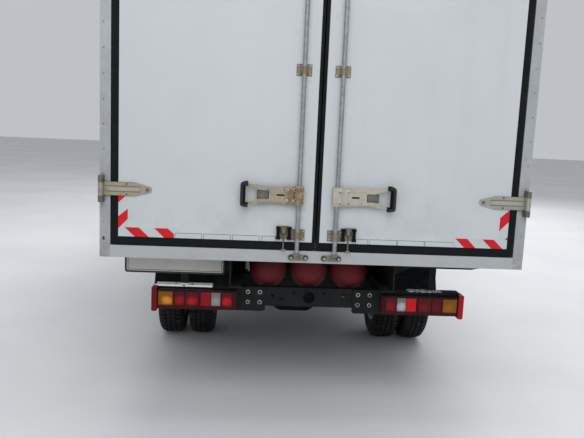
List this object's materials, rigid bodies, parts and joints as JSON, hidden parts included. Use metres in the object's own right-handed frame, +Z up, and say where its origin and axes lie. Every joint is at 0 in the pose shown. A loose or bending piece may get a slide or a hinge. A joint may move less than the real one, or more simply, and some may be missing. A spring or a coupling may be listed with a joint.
{
  "type": "refrigerated truck",
  "caption": "Light two-axle truck with an insulated box body, hinged rear doors with lock bars, twin rear wheels, a bonneted cab and a refrigeration unit on the front wall",
  "frame": {"origin": "on the ground under the middle of the bounding box", "axes": "+Y forward towards the cab, +X right-hand side, +Z up"},
  "size_m": [2.46, 5.841, 2.86],
  "materials": {
    "panel_white": "smooth reinforced plastic panel skin",
    "post_aluminium": "dull, stained aluminium",
    "portal_white": "white paint",
    "seal_rubber": "matte black",
    "zinc_fittings": "yellow passivated zinc, stained",
    "cylinder_red": "dull red paint, dusty",
    "chassis_black": "black frame paint, dusty",
    "tyre_rubber": "worn road rubber",
    "rim_steel": "silver paint",
    "cab_paint": "white gloss paint",
    "window_glass": "clear safety glass",
    "lamp_red": "moulded lens",
    "lamp_clear": "moulded clear lens",
    "trim_black": "grained plastic",
    "seat_fabric": "woven grey cloth",
    "facia_plastic": "grained plastic",
    "bare_steel": "dull bare steel",
    "unit_white": "white paint"
  },
  "bodies": {
    "chassis": {"frame_rails": "chassis_black", "crossmembers": "chassis_black", "rear_beam": "chassis_black", "tail_lamps": "lamp_red", "headlamps": "lamp_clear", "gas_cylinders": "cylinder_red", "cylinder_rack": "chassis_black", "box_bearers": "chassis_black", "leaf_springs": "chassis_black", "rear_axle": "chassis_black", "propeller_shaft": "chassis_black", "front_axle": "chassis_black", "powertrain_block": "bare_steel", "exhaust": "bare_steel", "side_tanks": "chassis_black", "mudguards": "trim_black", "cab_shell": "cab_paint", "cab_glass": "window_glass", "front_bumper": "trim_black", "grille": "trim_black", "seats": "seat_fabric", "dashboard": "facia_plastic", "box_floor": "panel_white", "box_side_walls": "panel_white", "box_front_wall": "panel_white", "box_roof": "panel_white", "rear_frame": "portal_white", "corner_trims": "post_aluminium", "reefer_unit": "unit_white", "door_brackets": "zinc_fittings"},
    "steering_knuckle_left": {"knuckle_left": "chassis_black"},
    "front_wheel_left": {"rim_front_left": "rim_steel", "tyre_front_left": "tyre_rubber"},
    "rear_wheels_left": {"rims_rear_left": "rim_steel", "tyres_rear_left": "tyre_rubber"},
    "side_door_left": {"cab_door_left": "cab_paint", "door_glass_left": "window_glass", "mirror_left": "trim_black"},
    "rear_leaf_left": {"rear_door_left": "panel_white", "door_seal_left": "seal_rubber", "door_fittings_left": "zinc_fittings"},
    "fan_left": {"condenser_fan_left": "trim_black"},
    "steering_knuckle_right": {"knuckle_right": "chassis_black"},
    "front_wheel_right": {"rim_front_right": "rim_steel", "tyre_front_right": "tyre_rubber"},
    "rear_wheels_right": {"rims_rear_right": "rim_steel", "tyres_rear_right": "tyre_rubber"},
    "side_door_right": {"cab_door_right": "cab_paint", "door_glass_right": "window_glass", "mirror_right": "trim_black"},
    "rear_leaf_right": {"rear_door_right": "panel_white", "door_seal_right": "seal_rubber", "door_fittings_right": "zinc_fittings"},
    "fan_right": {"condenser_fan_right": "trim_black"},
    "steering_rod": {"tie_rod": "chassis_black"},
    "bonnet_lid": {"bonnet": "cab_paint"}
  },
  "joints": [
    {"name": "steer_left", "type": "hinge", "parent": "chassis", "child": "steering_knuckle_left", "pos_m": [-0.745, 1.8905, 0.342], "axis": [0, 0, 1], "range_deg": [-35, 35]},
    {"name": "steer_right", "type": "hinge", "parent": "chassis", "child": "steering_knuckle_right", "pos_m": [0.745, 1.8905, 0.342], "axis": [0, 0, 1], "range_deg": [-35, 35]},
    {"name": "tie_rod_turn", "type": "hinge", "parent": "steering_knuckle_left", "child": "steering_rod", "pos_m": [-0.745, 1.7205, 0.265], "axis": [0, 0, 1], "range_deg": [-35, 35]},
    {"name": "front_wheel_spin_left", "type": "hinge", "parent": "steering_knuckle_left", "child": "front_wheel_left", "pos_m": [-0.86, 1.8905, 0.342], "axis": [1, 0, 0], "continuous": true},
    {"name": "rear_wheel_spin_left", "type": "hinge", "parent": "chassis", "child": "rear_wheels_left", "pos_m": [-0.7795, -1.2545, 0.342], "axis": [1, 0, 0], "continuous": true},
    {"name": "side_door_hinge_left", "type": "hinge", "parent": "chassis", "child": "side_door_left", "pos_m": [-1.003, 1.4995, 1], "axis": [0, 0, -1], "range_deg": [0, 70]},
    {"name": "rear_door_hinge_left", "type": "hinge", "parent": "chassis", "child": "rear_leaf_left", "pos_m": [-1.078, -2.8885, 1.859], "axis": [0, 0, -1], "range_deg": [0, 265]},
    {"name": "fan_spin_left", "type": "hinge", "parent": "chassis", "child": "fan_left", "pos_m": [-0.27, 0.7655, 2.455], "axis": [0, 1, 0], "continuous": true},
    {"name": "front_wheel_spin_right", "type": "hinge", "parent": "steering_knuckle_right", "child": "front_wheel_right", "pos_m": [0.86, 1.8905, 0.342], "axis": [1, 0, 0], "continuous": true},
    {"name": "rear_wheel_spin_right", "type": "hinge", "parent": "chassis", "child": "rear_wheels_right", "pos_m": [0.7795, -1.2545, 0.342], "axis": [1, 0, 0], "continuous": true},
    {"name": "side_door_hinge_right", "type": "hinge", "parent": "chassis", "child": "side_door_right", "pos_m": [1.003, 1.4995, 1], "axis": [0, 0, 1], "range_deg": [0, 70]},
    {"name": "rear_door_hinge_right", "type": "hinge", "parent": "chassis", "child": "rear_leaf_right", "pos_m": [1.078, -2.8885, 1.859], "axis": [0, 0, 1], "range_deg": [0, 265]},
    {"name": "fan_spin_right", "type": "hinge", "parent": "chassis", "child": "fan_right", "pos_m": [0.27, 0.7655, 2.455], "axis": [0, 1, 0], "continuous": true},
    {"name": "bonnet_hinge", "type": "hinge", "parent": "chassis", "child": "bonnet_lid", "pos_m": [0, 2.3085, 1.2278], "axis": [1, 0, 0], "range_deg": [0, 55]}
  ],
  "couplings": [
    {"joint": "steer_right", "follows": "steer_left", "ratio": 1},
    {"joint": "tie_rod_turn", "follows": "steer_left", "ratio": -1}
  ]
}
